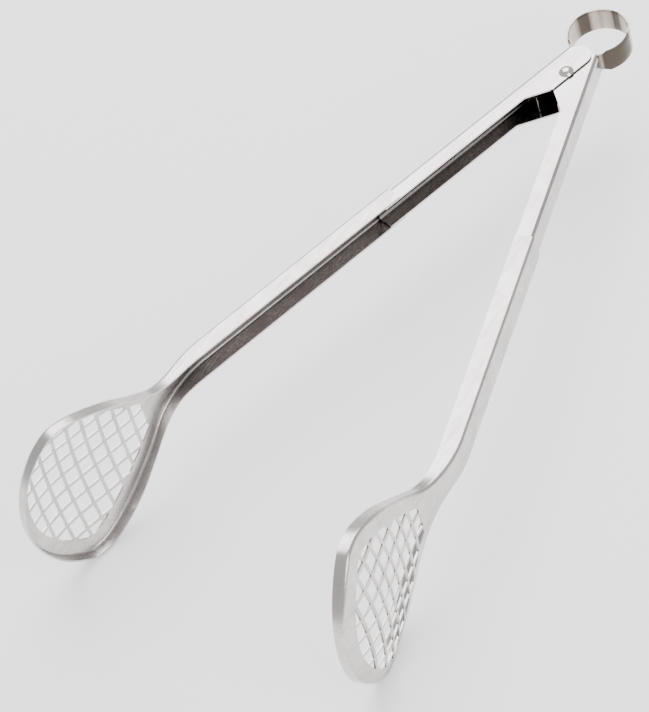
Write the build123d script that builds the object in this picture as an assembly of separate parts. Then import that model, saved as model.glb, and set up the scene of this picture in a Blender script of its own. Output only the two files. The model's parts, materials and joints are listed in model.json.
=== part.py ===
from build123d import *
import os
from math import asin, atan2, cos, degrees, radians, sin, sqrt, tan

# Spring loaded kitchen tongs: two sheet-steel arms on one rivet, held open by an omega-shaped strip
# spring. Millimetres. The origin is the centre of the spring's ring, +Z runs along the pivot axis
# and the heads point along -Y. The arms stand open, as the spring holds them.
#
# Each arm is drawn straight first, with the pivot axis on Z: X is the distance out from the pivot
# axis and -Y is the distance along the arm. Both arms come from the same functions.

# sheet and channel section
SHEET = 0.6
CHANNEL_HEIGHT = 9.8       # handle channel, outside
WEB_OFFSET = 9.3           # pivot axis to the outer face of the handle's web
CHANNEL_DEPTH = 6.6        # outer face of the handle's web to the flanges' free edges
HANDLE_BEND = 1.9          # outer bend radius of the handle, soft to the hand
STEM_BEND = 1.5            # outer bend radius of the head and its stem, folded sharper

# handle channel
HANDLE_LENGTH = 86.0       # from the pivot to the end that lies inside the stem
TAIL = 10.2                # from the pivot back to the web's end
LAP = 7.0                  # handle inside stem
LAP_CLEARANCE = 0.01       # web to web in the lap, at the ends of the handle web's flat

# ears, flat round the pivot
EAR_REACH = 2.4            # past the pivot axis, away from the web
LOWER_LEFT_REACH = 4.6     # the left arm's lower ear is deeper
EAR_STRAIGHT = 9.0         # along the arm, where the ear starts to slope to the flange
EAR_SLOPE_ANGLE = 29.0
EAR_CORNER = 3.0
EAR_TIP = 2.8              # ear past the web's end
EAR_GAP = 0.1              # between two ears that slide on each other

# pivot
RIVET_RADIUS = 1.6
RIVET_HEAD_RADIUS = 2.75
RIVET_HEAD_RISE = 1.5
RIVET_TAIL_RISE = 1.0
RIVET_PLAY = 0.06          # radial, in the ears that turn on it
SPACER_WALL = 0.8
SPACER_PLAY = 0.05         # round the rivet, and at the end that meets the turning ear

# omega spring
STRIP = 0.6
RING_RADIUS = 11.1         # middle of the strip
RING_CLEARANCE = 0.27      # ring to the inner corners of the webs' ends
RING_WIDTH = 9.4
NECK_OFFSET = 3.8          # from the ring's centre line to the middle of each end of the ring
NECK_RADIUS = 1.5
LEG_FLARE = 12.0           # leg to web, between the neck and the seat
LEG_CLEARANCE = 0.25       # leg's edge to the ear beside it
SEAT_GAP = 0.05            # leg to the bends of the channel it lies in
SHOULDER_CLEARANCE = 0.3   # ring's full width to the ears' ends
SHOULDER = 1.2             # length over which the strip narrows
CURL_ALONG = 14.6          # from the pivot to the curled end of the leg
CURL_RADIUS = 2.5
CURL_TIP = 0.4             # pivot line to the tip of the curled end

# head, seen square to its face: arcs from the blunt end round to the stem
HEAD_LENGTH = 260.0        # from the pivot to the tip
HEAD_HALF_WIDTH = 32.3
END_BULGE = 3.7            # radius of the blunt end, less the half width
CORNER_RADIUS = 10.2
HIP_RADIUS = 22.6
HIP_ANGLE = 21.7           # between the widest place and the end of the hip
FLANK_RADIUS = 76.0
FLANK_ANGLE = 37.0         # between the flank's lower end and the stem
THROAT_RADIUS = 25.0       # hollow between flank and stem

# head, side profile of its outer face, distances back from the tip
DIP_START = 91.0           # where the stem starts to bend in
DIP_RADIUS = 45.0
DIP_ANGLE = 15.5
RISE_START = 62.7          # where the slope between the two bends ends
RISE_RADIUS = 45.0
TIP_FALL = 24.0            # where the face starts to fall to the tip
TIP_RADIUS = 50.0
CROWN_RADIUS = 105.0       # across the face

# head, free edge of the rim: distances back from the tip, offsets from the pivot line
RIM_START = 86.0
RIM_MIDDLE = 54.0
RIM_MIDDLE_OFFSET = -3.4
RIM_FLAT = 22.0
RIM_OFFSET = -7.2

# head, window and mesh
SURROUND = 5.2             # solid border between the fold and the window
WINDOW_LENGTH = 59.5       # from the window's straight upper side to the tip
MESH_PITCH_ALONG = 6.3
MESH_PITCH_ACROSS = 6.8
STRAND = 1.2
SMALLEST_HOLE = 1.5        # square millimetres, smaller ones are left solid

# pose
OPEN_HALF_ANGLE = 15.7

# sizes that follow
HALF = CHANNEL_HEIGHT / 2
FREE_EDGE = WEB_OFFSET - CHANNEL_DEPTH
# the stem's web is crowned like the face, so it stands clear of the middle of the handle's web
LAP_GAP = LAP_CLEARANCE + (HALF - HANDLE_BEND) ** 2 / (2 * CROWN_RADIUS)
STEM_WEB = WEB_OFFSET + SHEET + LAP_GAP
END_RADIUS = HEAD_HALF_WIDTH + END_BULGE
STEM_HALF = HALF + SHEET
STEM_START = HANDLE_LENGTH - LAP
BLOCK_START = STEM_START - LAP
STAGGER = (SHEET + EAR_GAP) / 2
EAR_CLEAR = HALF - SHEET - STAGGER
BELOW = WEB_OFFSET * 3     # deeper than any part of an arm
CROWN_SWEEP = 50.0         # degrees, wider than the head
DIP_ALONG = HEAD_LENGTH - DIP_START
RISE_ALONG = HEAD_LENGTH - RISE_START
TIP_ALONG = HEAD_LENGTH - TIP_FALL
WINDOW_START = HEAD_LENGTH - WINDOW_LENGTH
SIDE_VIEW = Plane(origin=(0, 0, 0), x_dir=(0, -1, 0), z_dir=(0, 0, 1))
FACE_VIEW = Plane(origin=(BELOW, 0, 0), x_dir=(0, -1, 0), z_dir=(-1, 0, 0))


def at(along, out):
    """Point of an arm as drawn straight, in the XY plane."""
    return (out, -along)


def channel_section(web, half, bend, free_edge):
    """Filled section of a channel, open side at free_edge, as a face in the XZ plane."""
    with BuildSketch(Plane.XZ) as section:
        with BuildLine():
            Polyline((free_edge, half), (web, half), (web, -half), (free_edge, -half), close=True)
        make_face()
        fillet(section.vertices().group_by(Axis.X)[-1], bend)
    return section.sketch


def channel(start, end, web, half, bend):
    """Straight channel of sheet between two distances along the arm."""
    outer = channel_section(web, half, bend, FREE_EDGE)
    inner = channel_section(web - SHEET, half - SHEET, bend - SHEET, FREE_EDGE - SHEET)
    return Pos(0, -start, 0) * extrude(outer - inner, end - start, dir=(0, -1, 0))


def ear(reach, straight, level):
    """Flat ear round the pivot, its lower face at the given level."""
    flat = WEB_OFFSET - HANDLE_BEND
    radius = (flat + EAR_REACH) / 2
    centre = -TAIL - EAR_TIP + radius
    slope_end = straight + (FREE_EDGE + reach) / tan(radians(EAR_SLOPE_ANGLE))
    tip_side = at(centre, -EAR_REACH)
    with BuildSketch(Plane.XY.offset(level)) as plan:
        with BuildLine():
            ThreePointArc(at(centre, flat), at(centre - radius, flat - radius), tip_side)
            FilletPolyline(
                tip_side,
                at(straight, -reach),
                at(slope_end, FREE_EDGE),
                at(slope_end + EAR_CORNER, FREE_EDGE),
                radius=EAR_CORNER,
            )
            Polyline(at(slope_end + EAR_CORNER, FREE_EDGE), at(slope_end + EAR_CORNER, flat), at(centre, flat))
        make_face()
    return extrude(plan.sketch, SHEET)


def handle_channel(lower_reach, hole_radius):
    """Handle of one arm: channel with an ear above and an ear below the pivot."""
    body = channel(-TAIL, HANDLE_LENGTH, WEB_OFFSET, HALF, HANDLE_BEND)
    lower_straight = EAR_STRAIGHT + (lower_reach - EAR_REACH)
    ears = [ear(EAR_REACH, EAR_STRAIGHT, HALF - SHEET), ear(lower_reach, lower_straight, -HALF)]
    return body + ears - Cylinder(hole_radius, CHANNEL_HEIGHT * 2)


def head_outline(inset):
    """Plan of the head and its stem drawn in by inset: X along the arm, Y across it."""
    end_centre = HEAD_LENGTH - END_RADIUS
    across = HEAD_HALF_WIDTH - CORNER_RADIUS
    reach = ((END_RADIUS - CORNER_RADIUS) ** 2 - across**2) ** 0.5
    end_angle = degrees(atan2(across, reach))
    widest = (end_centre + reach, HEAD_HALF_WIDTH - inset)
    stem_half = max(STEM_HALF - inset, STRAND / 2)
    throat_radius = THROAT_RADIUS + inset
    with BuildSketch() as plan:
        with BuildLine():
            corner = JernArc(widest, (1, 0), CORNER_RADIUS - inset, end_angle - 90)
            end = JernArc(corner @ 1, corner % 1, END_RADIUS - inset, -end_angle)
            hip = JernArc(widest, (-1, 0), HIP_RADIUS - inset, HIP_ANGLE)
            flank = JernArc(hip @ 1, hip % 1, FLANK_RADIUS - inset, FLANK_ANGLE - HIP_ANGLE)
            throat_height = throat_radius * (1 - cos(radians(FLANK_ANGLE)))
            straight_fall = (flank @ 1).Y - stem_half - throat_height
            straight = PolarLine(flank @ 1, straight_fall / sin(radians(FLANK_ANGLE)), direction=flank % 1)
            throat = JernArc(straight @ 1, straight % 1, throat_radius, -FLANK_ANGLE)
            stem = Line(throat @ 1, (BLOCK_START, stem_half))
            mirror([corner, end, hip, flank, straight, throat, stem], about=Plane.XZ)
            Line((BLOCK_START, -stem_half), (BLOCK_START, stem_half))
        make_face()
    return plan.sketch


def under_face(drop):
    """Side view of all that lies under the head's outer face lowered by drop: X along, Y out."""
    dip_run = DIP_RADIUS * sin(radians(DIP_ANGLE))
    slope_length = (RISE_ALONG - DIP_ALONG - dip_run) / cos(radians(DIP_ANGLE))
    tip_angle = degrees(asin((TIP_FALL + SHEET) / (TIP_RADIUS - drop)))
    with BuildSketch() as side:
        with BuildLine():
            start = (BLOCK_START, STEM_WEB - drop)
            stem = Line(start, (DIP_ALONG, STEM_WEB - drop))
            dip = JernArc(stem @ 1, (1, 0), DIP_RADIUS - drop, -DIP_ANGLE)
            slope = PolarLine(dip @ 1, slope_length, direction=dip % 1)
            rise = JernArc(slope @ 1, slope % 1, RISE_RADIUS + drop, DIP_ANGLE)
            flat = Line(rise @ 1, (TIP_ALONG, (rise @ 1).Y))
            tip = JernArc(flat @ 1, (1, 0), TIP_RADIUS - drop, -tip_angle)
            Polyline(tip @ 1, ((tip @ 1).X, -BELOW), (BLOCK_START, -BELOW), start)
        make_face()
    return side.sketch


def crowned_block(inset, bend):
    """Solid under the face, crowned across it, with the outline and the face drawn in by inset."""
    block = revolve(SIDE_VIEW * under_face(inset), Axis((-CROWN_RADIUS, 0, 0), (0, 1, 0)), CROWN_SWEEP)
    block = block.rotate(Axis((-CROWN_RADIUS, 0, 0), (0, 1, 0)), -CROWN_SWEEP / 2)
    block = block & extrude(FACE_VIEW * head_outline(inset), BELOW * 2)
    # the fold runs along both sides, so lines across the face and along the base stay sharp
    sides = [edge for edge in block.edges() if abs(edge.center().Z) > STEM_HALF / 2]
    fold = [edge for edge in sides if edge.center().X > RIM_OFFSET and edge.bounding_box().size.Y > SHEET]
    return fillet(fold, bend)


def above_rim():
    """Solid on the face's side of the rim's free edge."""
    with BuildSketch() as side:
        with BuildLine():
            stem = Line((STEM_START, FREE_EDGE), (HEAD_LENGTH - RIM_START, FREE_EDGE))
            middle = (HEAD_LENGTH - RIM_MIDDLE, RIM_MIDDLE_OFFSET)
            flat = (HEAD_LENGTH - RIM_FLAT, RIM_OFFSET)
            rim = Spline(stem @ 1, middle, flat, tangents=((1, 0), (1, 0)))
            end = HEAD_LENGTH + SHEET
            Polyline(flat, (end, RIM_OFFSET), (end, BELOW), (STEM_START, BELOW), stem @ 0)
        make_face()
    return extrude(SIDE_VIEW * side.sketch, BELOW * 2, both=True)


def mesh_holes():
    """Prisms for the holes between the strands of the window."""
    beyond = Pos(WINDOW_START + HEAD_LENGTH / 2, 0) * Rectangle(HEAD_LENGTH, HEAD_LENGTH)
    window = head_outline(SURROUND) & beyond
    middle = (WINDOW_START + HEAD_LENGTH - SURROUND) / 2
    rows = int(WINDOW_LENGTH / MESH_PITCH_ALONG / 2) + 1
    columns = int(HEAD_HALF_WIDTH / MESH_PITCH_ACROSS) + 1
    cells = [
        Pos(middle + row * MESH_PITCH_ALONG, column * MESH_PITCH_ACROSS)
        * Rectangle(MESH_PITCH_ALONG - STRAND, MESH_PITCH_ACROSS - STRAND)
        for row in range(-rows, rows + 1)
        for column in range(-columns, columns + 1)
    ]
    holes = [face for cell in cells for face in (window & cell).faces() if face.area > SMALLEST_HOLE]
    return [extrude(FACE_VIEW * hole, BELOW * 2) for hole in holes]


def head():
    """Head of one arm with its stem: crowned tray with a rolled-down rim and a meshed window."""
    tray = crowned_block(0, STEM_BEND) - crowned_block(SHEET, STEM_BEND - SHEET)
    return (tray & above_rim()) - mesh_holes()


def on_arm(piece, side):
    """Swings a piece drawn straight to its place on the right (+1) or left (-1) arm."""
    opened = Pos(0, 0, -STAGGER) * piece.rotate(Axis.Z, OPEN_HALF_ANGLE)
    if side < 0:
        opened = mirror(opened, about=Plane.YZ).moved(Pos(0, 0, STAGGER * 2))
    return opened


def arm_point(along, out):
    """Point of the right arm in its open place, from its distances along and out."""
    return Vector(*at(along, out)).rotate(Axis.Z, OPEN_HALF_ANGLE)


def ring_centre():
    """Distance from the pivot to the centre of the ring, which lies against the webs' ends."""
    corner = arm_point(-TAIL, WEB_OFFSET - SHEET)
    outside = RING_RADIUS + STRIP / 2 + RING_CLEARANCE
    return corner.Y + sqrt(outside**2 - corner.X**2)


def spring_path():
    """Middle line of half the strip: ring, neck, leg and curled end, on the right."""
    bend_inside = HANDLE_BEND - SHEET
    seat = WEB_OFFSET - HANDLE_BEND + (2 * bend_inside * LEG_CLEARANCE - LEG_CLEARANCE**2) ** 0.5
    leg_out = seat - SEAT_GAP - STRIP / 2
    neck_angle = degrees(asin(NECK_OFFSET / RING_RADIUS))
    ring = CenterArc((0, ring_centre()), RING_RADIUS, 90, neck_angle - 180)
    flared = OPEN_HALF_ANGLE + LEG_FLARE
    neck = JernArc(ring @ 1, ring % 1, NECK_RADIUS, 90 + flared - neck_angle)
    along = arm_point(1, 0).dot(neck @ 1)
    out = arm_point(0, 1).dot(neck @ 1)
    seat_along = along + (leg_out - out) / tan(radians(LEG_FLARE))
    leg = FilletPolyline(
        neck @ 1,
        arm_point(seat_along, leg_out),
        arm_point(CURL_ALONG, leg_out),
        arm_point(CURL_ALONG, CURL_TIP),
        radius=[NECK_RADIUS, CURL_RADIUS],
    )
    return Wire([ring, neck] + list(leg.edges()))


def omega_spring():
    """Strip bent to an open ring with two legs, narrowed where it lies between the ears."""
    half_path = spring_path()
    start = Plane(origin=half_path @ 0, x_dir=(0, 1, 0), z_dir=half_path % 0)
    half_strip = sweep(start * Rectangle(STRIP, RING_WIDTH), half_path)
    strip = half_strip + mirror(half_strip, about=Plane.YZ)
    ear_radius = (WEB_OFFSET - HANDLE_BEND + EAR_REACH) / 2
    ear_centre = arm_point(ear_radius - TAIL - EAR_TIP, ear_radius - EAR_REACH)
    narrow = ear_centre.Y + ear_radius + SHOULDER_CLEARANCE
    top = ring_centre() + RING_RADIUS + STRIP
    leg_half = EAR_CLEAR - LEG_CLEARANCE
    with BuildSketch(Plane.YZ) as plan:
        with BuildLine():
            Polyline(
                (-CURL_ALONG * 2, leg_half),
                (narrow, leg_half),
                (narrow + SHOULDER, RING_WIDTH / 2),
                (top, RING_WIDTH / 2),
                (top, 0),
                (-CURL_ALONG * 2, 0),
                close=True,
            )
        make_face()
        mirror(about=Plane.XZ)
    return strip & extrude(plan.sketch, RING_RADIUS * 3, both=True)


def domed_disc(radius, rise, level, up):
    """Cap of a sphere on the Z axis, its flat side at the given level."""
    ball = (radius**2 + rise**2) / (2 * rise)
    cap = Pos(0, 0, rise - ball) * Sphere(ball) & Pos(0, 0, rise) * Box(radius * 4, radius * 4, rise * 2)
    if not up:
        cap = mirror(cap, about=Plane.XY)
    return Pos(0, 0, level) * cap


def pivot_rivet():
    """Rivet with a domed head above the ears and a flatter peened tail below."""
    outside = HALF + STAGGER
    shank = extrude(Plane.XY.offset(-outside) * Circle(RIVET_RADIUS), outside * 2 + SPACER_PLAY)
    upper = domed_disc(RIVET_HEAD_RADIUS, RIVET_HEAD_RISE, outside + SPACER_PLAY, True)
    lower = domed_disc(RIVET_HEAD_RADIUS, RIVET_TAIL_RISE, -outside, False)
    return shank + upper + lower


def pivot_spacer():
    """Sleeve that keeps the two inner ears apart."""
    bore = RIVET_RADIUS + SPACER_PLAY
    ring = Circle(bore + SPACER_WALL) - Circle(bore)
    return extrude(Plane.XY.offset(SPACER_PLAY - EAR_CLEAR) * ring, EAR_CLEAR * 2 - SPACER_PLAY)


one_head = head()
pieces = {
    "left_handle": on_arm(handle_channel(LOWER_LEFT_REACH, RIVET_RADIUS + RIVET_PLAY), -1),
    "right_handle": on_arm(handle_channel(EAR_REACH, RIVET_RADIUS), 1),
    "left_head": on_arm(one_head, -1),
    "right_head": on_arm(one_head, 1),
    "omega_spring": omega_spring(),
    "pivot_rivet": pivot_rivet(),
    "pivot_spacer": pivot_spacer(),
}
os.makedirs("parts", exist_ok=True)
for name, piece in pieces.items():
    export_step(Pos(0, -ring_centre(), 0) * piece, "parts/" + name + ".step")
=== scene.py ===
import json
import math

import bmesh
import bpy
from bpy.props import FloatProperty, FloatVectorProperty, PointerProperty
from mathutils import Matrix, Vector


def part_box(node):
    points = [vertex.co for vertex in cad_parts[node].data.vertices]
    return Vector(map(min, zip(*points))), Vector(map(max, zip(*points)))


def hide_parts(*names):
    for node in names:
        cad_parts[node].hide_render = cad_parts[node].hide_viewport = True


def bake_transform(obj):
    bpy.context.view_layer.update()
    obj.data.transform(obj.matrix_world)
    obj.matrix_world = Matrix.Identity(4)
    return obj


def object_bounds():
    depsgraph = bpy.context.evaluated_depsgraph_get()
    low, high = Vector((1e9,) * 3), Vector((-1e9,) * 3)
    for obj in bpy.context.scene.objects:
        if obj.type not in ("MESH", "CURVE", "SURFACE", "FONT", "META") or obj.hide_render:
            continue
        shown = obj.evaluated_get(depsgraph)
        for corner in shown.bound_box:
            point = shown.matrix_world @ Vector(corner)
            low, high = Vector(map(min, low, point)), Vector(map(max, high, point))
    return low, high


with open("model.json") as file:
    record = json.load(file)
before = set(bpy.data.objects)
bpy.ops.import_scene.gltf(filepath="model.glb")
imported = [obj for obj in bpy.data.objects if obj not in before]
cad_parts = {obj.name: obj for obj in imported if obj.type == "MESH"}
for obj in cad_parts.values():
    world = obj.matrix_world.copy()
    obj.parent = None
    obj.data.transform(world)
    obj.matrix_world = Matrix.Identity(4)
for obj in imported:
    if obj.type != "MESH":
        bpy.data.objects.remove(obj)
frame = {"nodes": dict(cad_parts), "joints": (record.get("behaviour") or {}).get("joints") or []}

bl_info = {
    "name": "Spring Loaded Tongs",
    "version": (1, 0, 0),
    "blender": (4, 5, 0),
    "location": "3D View > Sidebar > Tongs",
    "description": "Builds sheet-steel kitchen tongs with perforated heads and an omega spring",
    "category": "Add Mesh",
}

MM = 0.001
HOLLOW = 12 * MM       # how far round a point the painted shade in hollows looks
BAND = 7 * MM          # length of the temper bands along the strip
CLOUD = 9 * MM         # size of the soft patches in a polish
SHOULDER_END = -8.73 * MM  # where the strip is down to the width that passes between the ears
SHOULDER = 1.2 * MM    # length over which it narrows
CURL_RADIUS = 2.5 * MM
SEAT_RUN = 1.2 * MM    # straight part of the leg before it meets the web
FLOOR_HALF = 6         # metres
MIX_FROM, MIX_TO, MIX_RESULT = 6, 7, 2  # colour sockets of the mix node
FIRST_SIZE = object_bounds()
JOINT = frame["joints"][0]
PIVOT = Vector(JOINT["pos_m"])
SPRING_BOX = [Vector(corner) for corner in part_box("omega_spring")]


def linear(code):
    """Linear colour from an sRGB hex code such as C8C4C0."""
    values = [int(code[i:i + 2], 16) / 255 for i in (0, 2, 4)]
    return tuple(v / 12.92 if v <= 0.04045 else ((v + 0.055) / 1.055) ** 2.4 for v in values)


def add_node(tree, kind, settings=(), inputs=()):
    """One node with its settings; an input is a value or the socket that feeds it."""
    made = tree.nodes.new(kind)
    for name, value in dict(settings).items():
        setattr(made, name, value)
    for name, value in dict(inputs).items():
        if isinstance(value, bpy.types.NodeSocket):
            tree.links.new(value, made.inputs[name])
        else:
            made.inputs[name].default_value = value
    return made


class TongsSizes(bpy.types.PropertyGroup):
    """Sizes of the pieces that are built here rather than taken from the frame."""

    strip_thickness: FloatProperty(
        name="Strip thickness", description="Spring steel strip", default=0.6 * MM, unit="LENGTH"
    )
    neck_radius: FloatProperty(
        name="Neck radius", description="Bend between ring and leg, middle of the strip",
        default=1.5 * MM, unit="LENGTH",
    )
    neck_angle: FloatProperty(
        name="Neck angle", description="Between the ring's end and its centre line",
        default=math.radians(20), subtype="ANGLE",
    )
    leg_flare: FloatProperty(
        name="Leg flare", description="Leg to web between the neck and the seat",
        default=math.radians(12), subtype="ANGLE",
    )
    leg_out: FloatProperty(
        name="Leg offset", description="Pivot line to the middle of the seated leg",
        default=7.77 * MM, unit="LENGTH",
    )
    leg_width: FloatProperty(
        name="Leg width", description="Strip width between the ears", default=7.4 * MM, unit="LENGTH"
    )
    curl_along: FloatProperty(
        name="Curl distance", description="Pivot to the curled end of the leg",
        default=14.6 * MM, unit="LENGTH",
    )
    curl_tip: FloatProperty(
        name="Curl tip", description="Pivot line to the tip of the curled end",
        default=0.4 * MM, unit="LENGTH",
    )
    open_angle: FloatProperty(
        name="Half opening", description="Centre line to one arm, as stored",
        default=math.radians(15.7), subtype="ANGLE",
    )


class TongsFinish(bpy.types.PropertyGroup):
    """Colours and texture sizes of the steels."""

    steel: FloatVectorProperty(
        name="Stainless steel", description="Polished sheet, warm grey", subtype="COLOR",
        default=linear("D2CDCB"),
    )
    steel_worn: FloatVectorProperty(
        name="Stainless steel, rubbed", description="Where the polish has dulled", subtype="COLOR",
        default=linear("B9B2B0"),
    )
    strip: FloatVectorProperty(
        name="Spring strip", description="Rolled spring steel, slightly straw", subtype="COLOR",
        default=linear("A99A8A"),
    )
    # painted shade: the dark colour that the ambient-occlusion node lays into hollows, such as inside the
    # channels and between parts
    recess_shade: FloatVectorProperty(
        name="Painted hollow shade", description="Shade painted inside the channels and other hollows", subtype="COLOR",
        default=linear("3C3933"),
    )
    # darker bands across the strip, and also the colour painted as shade into the spring's hollows
    temper_and_shade: FloatVectorProperty(
        name="Temper bands and hollow shade", description="Darker bands across the spring strip, also its painted hollow shade", subtype="COLOR",
        default=linear("39332D"),
    )
    grain: FloatProperty(
        name="Polishing grain",
        description="Spacing of the polishing lines, coarser than the real 0.1 mm so that they show",
        default=0.8 * MM, unit="LENGTH",
    )


def metal(name, colours, roughness, grain, turn, stretch, recess_shade, bands=0.0):
    """Metal with polishing lines along -Y turned by an angle; roughness is (smoothest, dullest).

    recess is the dark colour painted as shade into the hollows that the ambient-occlusion node finds, and
    bands is how strongly the same colour crosses a strip as tempering bands.
    """
    material = bpy.data.materials.new(name)
    material.use_nodes = True
    tree = material.node_tree
    tree.nodes.clear()
    where = add_node(tree, "ShaderNodeTexCoord").outputs["Object"]
    lined = add_node(tree, "ShaderNodeMapping", inputs={
        "Vector": where,
        "Rotation": (0, 0, -turn),
        "Scale": (1 / grain, 1 / (grain * stretch), 1 / grain),
    }).outputs["Vector"]
    lines = add_node(tree, "ShaderNodeTexNoise", inputs={"Vector": lined, "Scale": 1.0, "Detail": 3.0})
    clouds = add_node(tree, "ShaderNodeTexNoise", inputs={
        "Vector": where, "Scale": 1 / CLOUD, "Detail": 2.0})
    mixed = add_node(tree, "ShaderNodeMix", inputs={
        "Factor": 0.45, "A": lines.outputs["Fac"], "B": clouds.outputs["Fac"]}).outputs["Result"]
    tone = add_node(tree, "ShaderNodeValToRGB", inputs={"Fac": mixed})
    tone.color_ramp.elements[0].position = 0.3
    tone.color_ramp.elements[0].color = (*colours[1], 1)
    tone.color_ramp.elements[1].position = 0.62
    tone.color_ramp.elements[1].color = (*colours[0], 1)
    colour = tone.outputs["Color"]
    # open sky at which the painted shade in hollows starts to clear and is gone
    reach = (0.25, 0.72)
    if bands:
        reach = (0.02, 0.3)
        across = add_node(tree, "ShaderNodeMapping", inputs={
            "Vector": where, "Scale": (1 / BAND, 1 / BAND, 0)}).outputs["Vector"]
        wave = add_node(tree, "ShaderNodeTexNoise", inputs={"Vector": across, "Scale": 1.0, "Detail": 1.0})
        strength = add_node(tree, "ShaderNodeMapRange", inputs={
            "Value": wave.outputs["Fac"], "From Min": 0.42, "From Max": 0.56, "To Max": bands})
        colour = add_node(tree, "ShaderNodeMix", {"data_type": "RGBA"}, {
            "Factor": strength.outputs["Result"],
            MIX_FROM: colour,
            MIX_TO: (*recess_shade, 1),
        }).outputs[MIX_RESULT]
    # painted shade: where the ambient-occlusion node finds a hollow, the colour is mixed towards the dark
    # shade colour; polished below is the colour after this painted shade
    open_sky = add_node(tree, "ShaderNodeAmbientOcclusion", {"samples": 8}, {"Distance": HOLLOW})
    out_of_shade = add_node(tree, "ShaderNodeMapRange", inputs={
        "Value": open_sky.outputs["AO"], "From Min": reach[0], "From Max": reach[1]})
    polished = add_node(tree, "ShaderNodeMix", {"data_type": "RGBA"}, {
        "Factor": out_of_shade.outputs["Result"],
        MIX_FROM: (*recess_shade, 1),
        MIX_TO: colour,
    })
    dull = add_node(tree, "ShaderNodeMapRange", inputs={
        "Value": mixed, "From Min": 0.3, "From Max": 0.7, "To Min": roughness[1], "To Max": roughness[0]})
    relief = add_node(tree, "ShaderNodeBump", inputs={
        "Height": lines.outputs["Fac"], "Strength": 0.12, "Distance": 0.02 * MM})
    shader = add_node(tree, "ShaderNodeBsdfPrincipled", inputs={
        "Base Color": polished.outputs[MIX_RESULT],
        "Metallic": 1.0,
        "Roughness": dull.outputs["Result"],
        "Normal": relief.outputs["Normal"],
    })
    add_node(tree, "ShaderNodeOutputMaterial", inputs={"Surface": shader.outputs["BSDF"]})
    return material


def paint(piece, material):
    """Puts one material on every slot of a piece."""
    for index in range(max(1, len(piece.material_slots))):
        if index < len(piece.material_slots):
            piece.material_slots[index].material = material
        else:
            piece.data.materials.append(material)


def arm_point(along, out, open_angle, side):
    """Point in plan from its distances along and out from an arm, as stored."""
    x = along * math.sin(open_angle) + out * math.cos(open_angle)
    y = -along * math.cos(open_angle) + out * math.sin(open_angle)
    return Vector((side * x + PIVOT.x, y + PIVOT.y))


def turned(points, centre, start, sweep, steps):
    """Adds an arc's points to a plan path."""
    radius = (start - centre).length
    first = math.atan2(start.y - centre.y, start.x - centre.x)
    for step in range(1, steps + 1):
        angle = first + sweep * step / steps
        points.append(centre + Vector((math.cos(angle), math.sin(angle))) * radius)


def strip_plan(sizes):
    """Middle line of the right half of the spring, from the top of the ring to the curled tip."""
    radius = SPRING_BOX[1].y - sizes.strip_thickness / 2
    points = [Vector((0, radius))]
    turned(points, Vector((0, 0)), points[0], sizes.neck_angle - math.pi, 60)
    away = Vector((math.sin(sizes.neck_angle), -math.cos(sizes.neck_angle)))
    turned(points, away * (radius + sizes.neck_radius), points[-1],
           math.pi / 2 + sizes.open_angle + sizes.leg_flare - sizes.neck_angle, 16)
    turn = Matrix.Rotation(sizes.open_angle, 2)
    local = turn.inverted() @ (points[-1] - PIVOT.to_2d())
    neck_out, neck_along = local.x, -local.y
    seat = neck_along + (sizes.leg_out - neck_out) / math.tan(sizes.leg_flare)
    before_seat = (seat - SEAT_RUN, sizes.leg_out - SEAT_RUN * math.tan(sizes.leg_flare))
    path = [before_seat, (seat, sizes.leg_out), (sizes.curl_along - CURL_RADIUS, sizes.leg_out)]
    for step in range(1, 11):
        angle = step / 10 * math.pi / 2
        path.append((sizes.curl_along - CURL_RADIUS + CURL_RADIUS * math.sin(angle),
                     sizes.leg_out - CURL_RADIUS + CURL_RADIUS * math.cos(angle)))
    path.append((sizes.curl_along, sizes.curl_tip))
    points += [arm_point(along, out, sizes.open_angle, 1) for along, out in path]
    return points


def dense(points, gap):
    """The same path with points no further apart than gap."""
    filled = [points[0]]
    for a, b in zip(points, points[1:]):
        count = max(1, math.ceil((b - a).length / gap))
        filled += [a.lerp(b, step / count) for step in range(1, count + 1)]
    return filled


class TONGS_OT_handles(bpy.types.Operator):
    """Finishes the handle channels in polished stainless steel"""

    bl_idname = "tongs.handles"
    bl_label = "Handles"

    def execute(self, context):
        finish = context.scene.tongs_finish
        sizes = context.scene.tongs_sizes
        colours = (tuple(finish.steel), tuple(finish.steel_worn))
        for name, turn in (("left_handle", -sizes.open_angle), ("right_handle", sizes.open_angle)):
            # folded sheet polished along the arm: bright, with faint lengthwise lines
            steel = metal(name + " polished stainless", colours, (0.1, 0.24), finish.grain, turn, 60,
                          tuple(finish.recess_shade))
            paint(frame["nodes"][name], steel)
        return {"FINISHED"}


class TONGS_OT_heads(bpy.types.Operator):
    """Finishes the pressed and perforated heads in satin stainless steel"""

    bl_idname = "tongs.heads"
    bl_label = "Heads"

    def execute(self, context):
        finish = context.scene.tongs_finish
        sizes = context.scene.tongs_sizes
        colours = (tuple(finish.steel), tuple(finish.steel_worn))
        for name, turn in (("left_head", -sizes.open_angle), ("right_head", sizes.open_angle)):
            # tumbled after pressing: the same metal with a softer, cloudier shine
            steel = metal(name + " tumbled stainless", colours, (0.2, 0.36), finish.grain, turn, 12,
                          tuple(finish.recess_shade))
            paint(frame["nodes"][name], steel)
        return {"FINISHED"}


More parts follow.
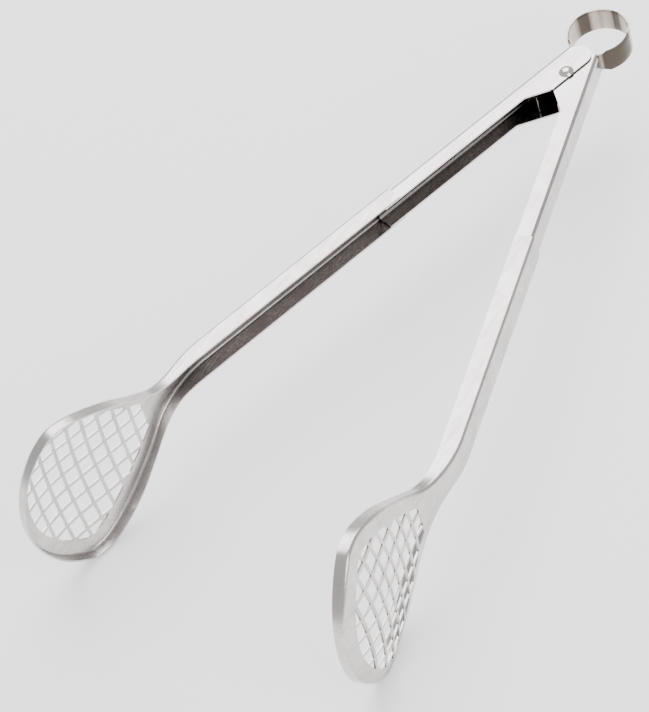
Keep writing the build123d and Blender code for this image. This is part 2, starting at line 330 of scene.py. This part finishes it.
class TONGS_OT_spring(bpy.types.Operator):
    """Builds the omega spring in two halves, one beside each arm"""

    bl_idname = "tongs.spring"
    bl_label = "Omega spring"

    def execute(self, context):
        sizes = context.scene.tongs_sizes
        finish = context.scene.tongs_finish
        # rolled and tempered strip: straw coloured, with darker bands across it; the band colour is also
        # painted as shade into the strip's hollows
        steel = metal("rolled spring strip", (tuple(finish.strip), tuple(finish.steel_worn)),
                      (0.14, 0.26), finish.grain, math.pi / 2, 3, tuple(finish.temper_and_shade), bands=0.92)
        plan = dense(strip_plan(sizes), 0.5 * MM)
        ring_half = (SPRING_BOX[1].z - SPRING_BOX[0].z) / 2
        for side, name, bodies in ((1, "right", ("right_arm", "left_arm")),
                                   (-1, "left", ("left_arm", "right_arm"))):
            made = bmesh.new()
            rows = []
            for point in plan:
                height = min(1, max(0, (point.y - SHOULDER_END) / SHOULDER))
                half = sizes.leg_width / 2 + (ring_half - sizes.leg_width / 2) * height
                rows.append([made.verts.new((side * point.x, point.y, z * half))
                             for z in (-1, -0.5, 0, 0.5, 1)])
            for a, b in zip(rows, rows[1:]):
                for i in range(4):
                    corners = (a[i], b[i], b[i + 1], a[i + 1])
                    made.faces.new(corners if side > 0 else corners[::-1])
            mesh = bpy.data.meshes.new("omega spring " + name)
            made.to_mesh(mesh)
            made.free()
            piece = bpy.data.objects.new("omega_spring_" + name, mesh)
            context.collection.objects.link(piece)
            mesh.shade_smooth()
            thick = piece.modifiers.new("strip", "SOLIDIFY")
            thick.thickness = sizes.strip_thickness
            thick.offset = 0
            edge = piece.modifiers.new("rounded edges", "BEVEL")
            edge.width = 0.12 * MM
            edge.segments = 2
            edge.limit_method = "ANGLE"
            paint(piece, steel)
            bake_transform(piece)
            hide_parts("omega_spring")
        return {"FINISHED"}


class TONGS_OT_rivet(bpy.types.Operator):
    """Finishes the rivet and its spacer"""

    bl_idname = "tongs.rivet"
    bl_label = "Rivet and spacer"

    def execute(self, context):
        finish = context.scene.tongs_finish
        # cold headed and buffed with the tongs: the brightest piece, with a fine mottle
        steel = metal("buffed rivet steel", (linear("E2DFDC"), tuple(finish.steel)), (0.08, 0.2),
                      0.5 * MM, 0, 1, tuple(finish.recess_shade))
        for name in ("pivot_rivet", "pivot_spacer"):
            paint(frame["nodes"][name], steel)
        return {"FINISHED"}


class TONGS_OT_stage(bpy.types.Operator):
    """Adds the pale floor, the soft lights and the camera"""

    bl_idname = "tongs.stage"
    bl_label = "Stage"

    def execute(self, context):
        low = FIRST_SIZE[0][2]
        made = bmesh.new()
        bmesh.ops.create_grid(made, x_segments=1, y_segments=1, size=FLOOR_HALF)
        mesh = bpy.data.meshes.new("floor")
        made.to_mesh(mesh)
        made.free()
        floor = bpy.data.objects.new("floor", mesh)
        floor.location.z = low
        context.collection.objects.link(floor)
        matt = bpy.data.materials.new("white paper")
        matt.use_nodes = True
        sheet = matt.node_tree.nodes["Principled BSDF"].inputs
        sheet["Base Color"].default_value = (*linear("F4F3F2"), 1)
        sheet["Roughness"].default_value = 0.9
        # lit from below as well, like a light table
        sheet["Emission Color"].default_value = (1, 1, 1, 1)
        sheet["Emission Strength"].default_value = 0.7
        paint(floor, matt)

        world = bpy.data.worlds.new("studio")
        world.use_nodes = True
        background = world.node_tree.nodes["Background"]
        background.inputs["Color"].default_value = (*linear("F2F2F3"), 1)
        background.inputs["Strength"].default_value = 0.85
        context.scene.world = world

        aim = Vector((-0.01234, -0.16746, 0))
        for name, spot, size, power in (
            ("overhead", (-0.5, 0.5, 1.2), 1.4, 34),
            ("side", (1.1, -0.4, 0.9), 0.8, 9),
        ):
            light = bpy.data.lights.new(name, "AREA")
            light.size = size
            light.energy = power
            lamp = bpy.data.objects.new(name, light)
            lamp.location = spot
            lamp.rotation_euler = (aim - lamp.location).to_track_quat("-Z", "Y").to_euler()
            context.collection.objects.link(lamp)

        lens = bpy.data.cameras.new("camera")
        lens.sensor_width = 36
        lens.lens = 192.7
        lens.clip_end = 20
        camera = bpy.data.objects.new("camera", lens)
        azimuth, elevation, roll, distance = (math.radians(46.53), math.radians(46.97),
                                              math.radians(18.04), 1.3057)
        away = Vector((math.sin(azimuth) * math.cos(elevation), -math.cos(azimuth) * math.cos(elevation),
                       math.sin(elevation)))
        facing = (-away).to_track_quat("-Z", "Y").to_matrix().to_4x4()
        camera.matrix_world = (Matrix.Translation(aim + away * distance) @ facing
                               @ Matrix.Rotation(-roll, 4, "Z"))
        context.collection.objects.link(camera)
        context.scene.camera = camera
        return {"FINISHED"}


class TONGS_PT_panel(bpy.types.Panel):
    """Lists the pieces of the tongs"""

    bl_idname = "TONGS_PT_panel"
    bl_label = "Tongs"
    bl_space_type = "VIEW_3D"
    bl_region_type = "UI"
    bl_category = "Tongs"

    def draw(self, context):
        for group in (context.scene.tongs_sizes, context.scene.tongs_finish):
            box = self.layout.box()
            for name in group.bl_rna.properties.keys():
                if name not in ("name", "rna_type"):
                    box.prop(group, name)
        for operator in OPERATORS:
            self.layout.operator(operator.bl_idname)


OPERATORS = (TONGS_OT_handles, TONGS_OT_heads, TONGS_OT_spring, TONGS_OT_rivet, TONGS_OT_stage)
CLASSES = (TongsSizes, TongsFinish, *OPERATORS, TONGS_PT_panel)


def register():
    for cls in CLASSES:
        bpy.utils.register_class(cls)
    bpy.types.Scene.tongs_sizes = PointerProperty(type=TongsSizes)
    bpy.types.Scene.tongs_finish = PointerProperty(type=TongsFinish)


def unregister():
    del bpy.types.Scene.tongs_finish
    del bpy.types.Scene.tongs_sizes
    for cls in reversed(CLASSES):
        bpy.utils.unregister_class(cls)


def main():
    register()
    bpy.ops.tongs.handles()
    bpy.ops.tongs.heads()
    bpy.ops.tongs.spring()
    bpy.ops.tongs.rivet()
    bpy.ops.tongs.stage()


if __name__ == "__main__":
    main()
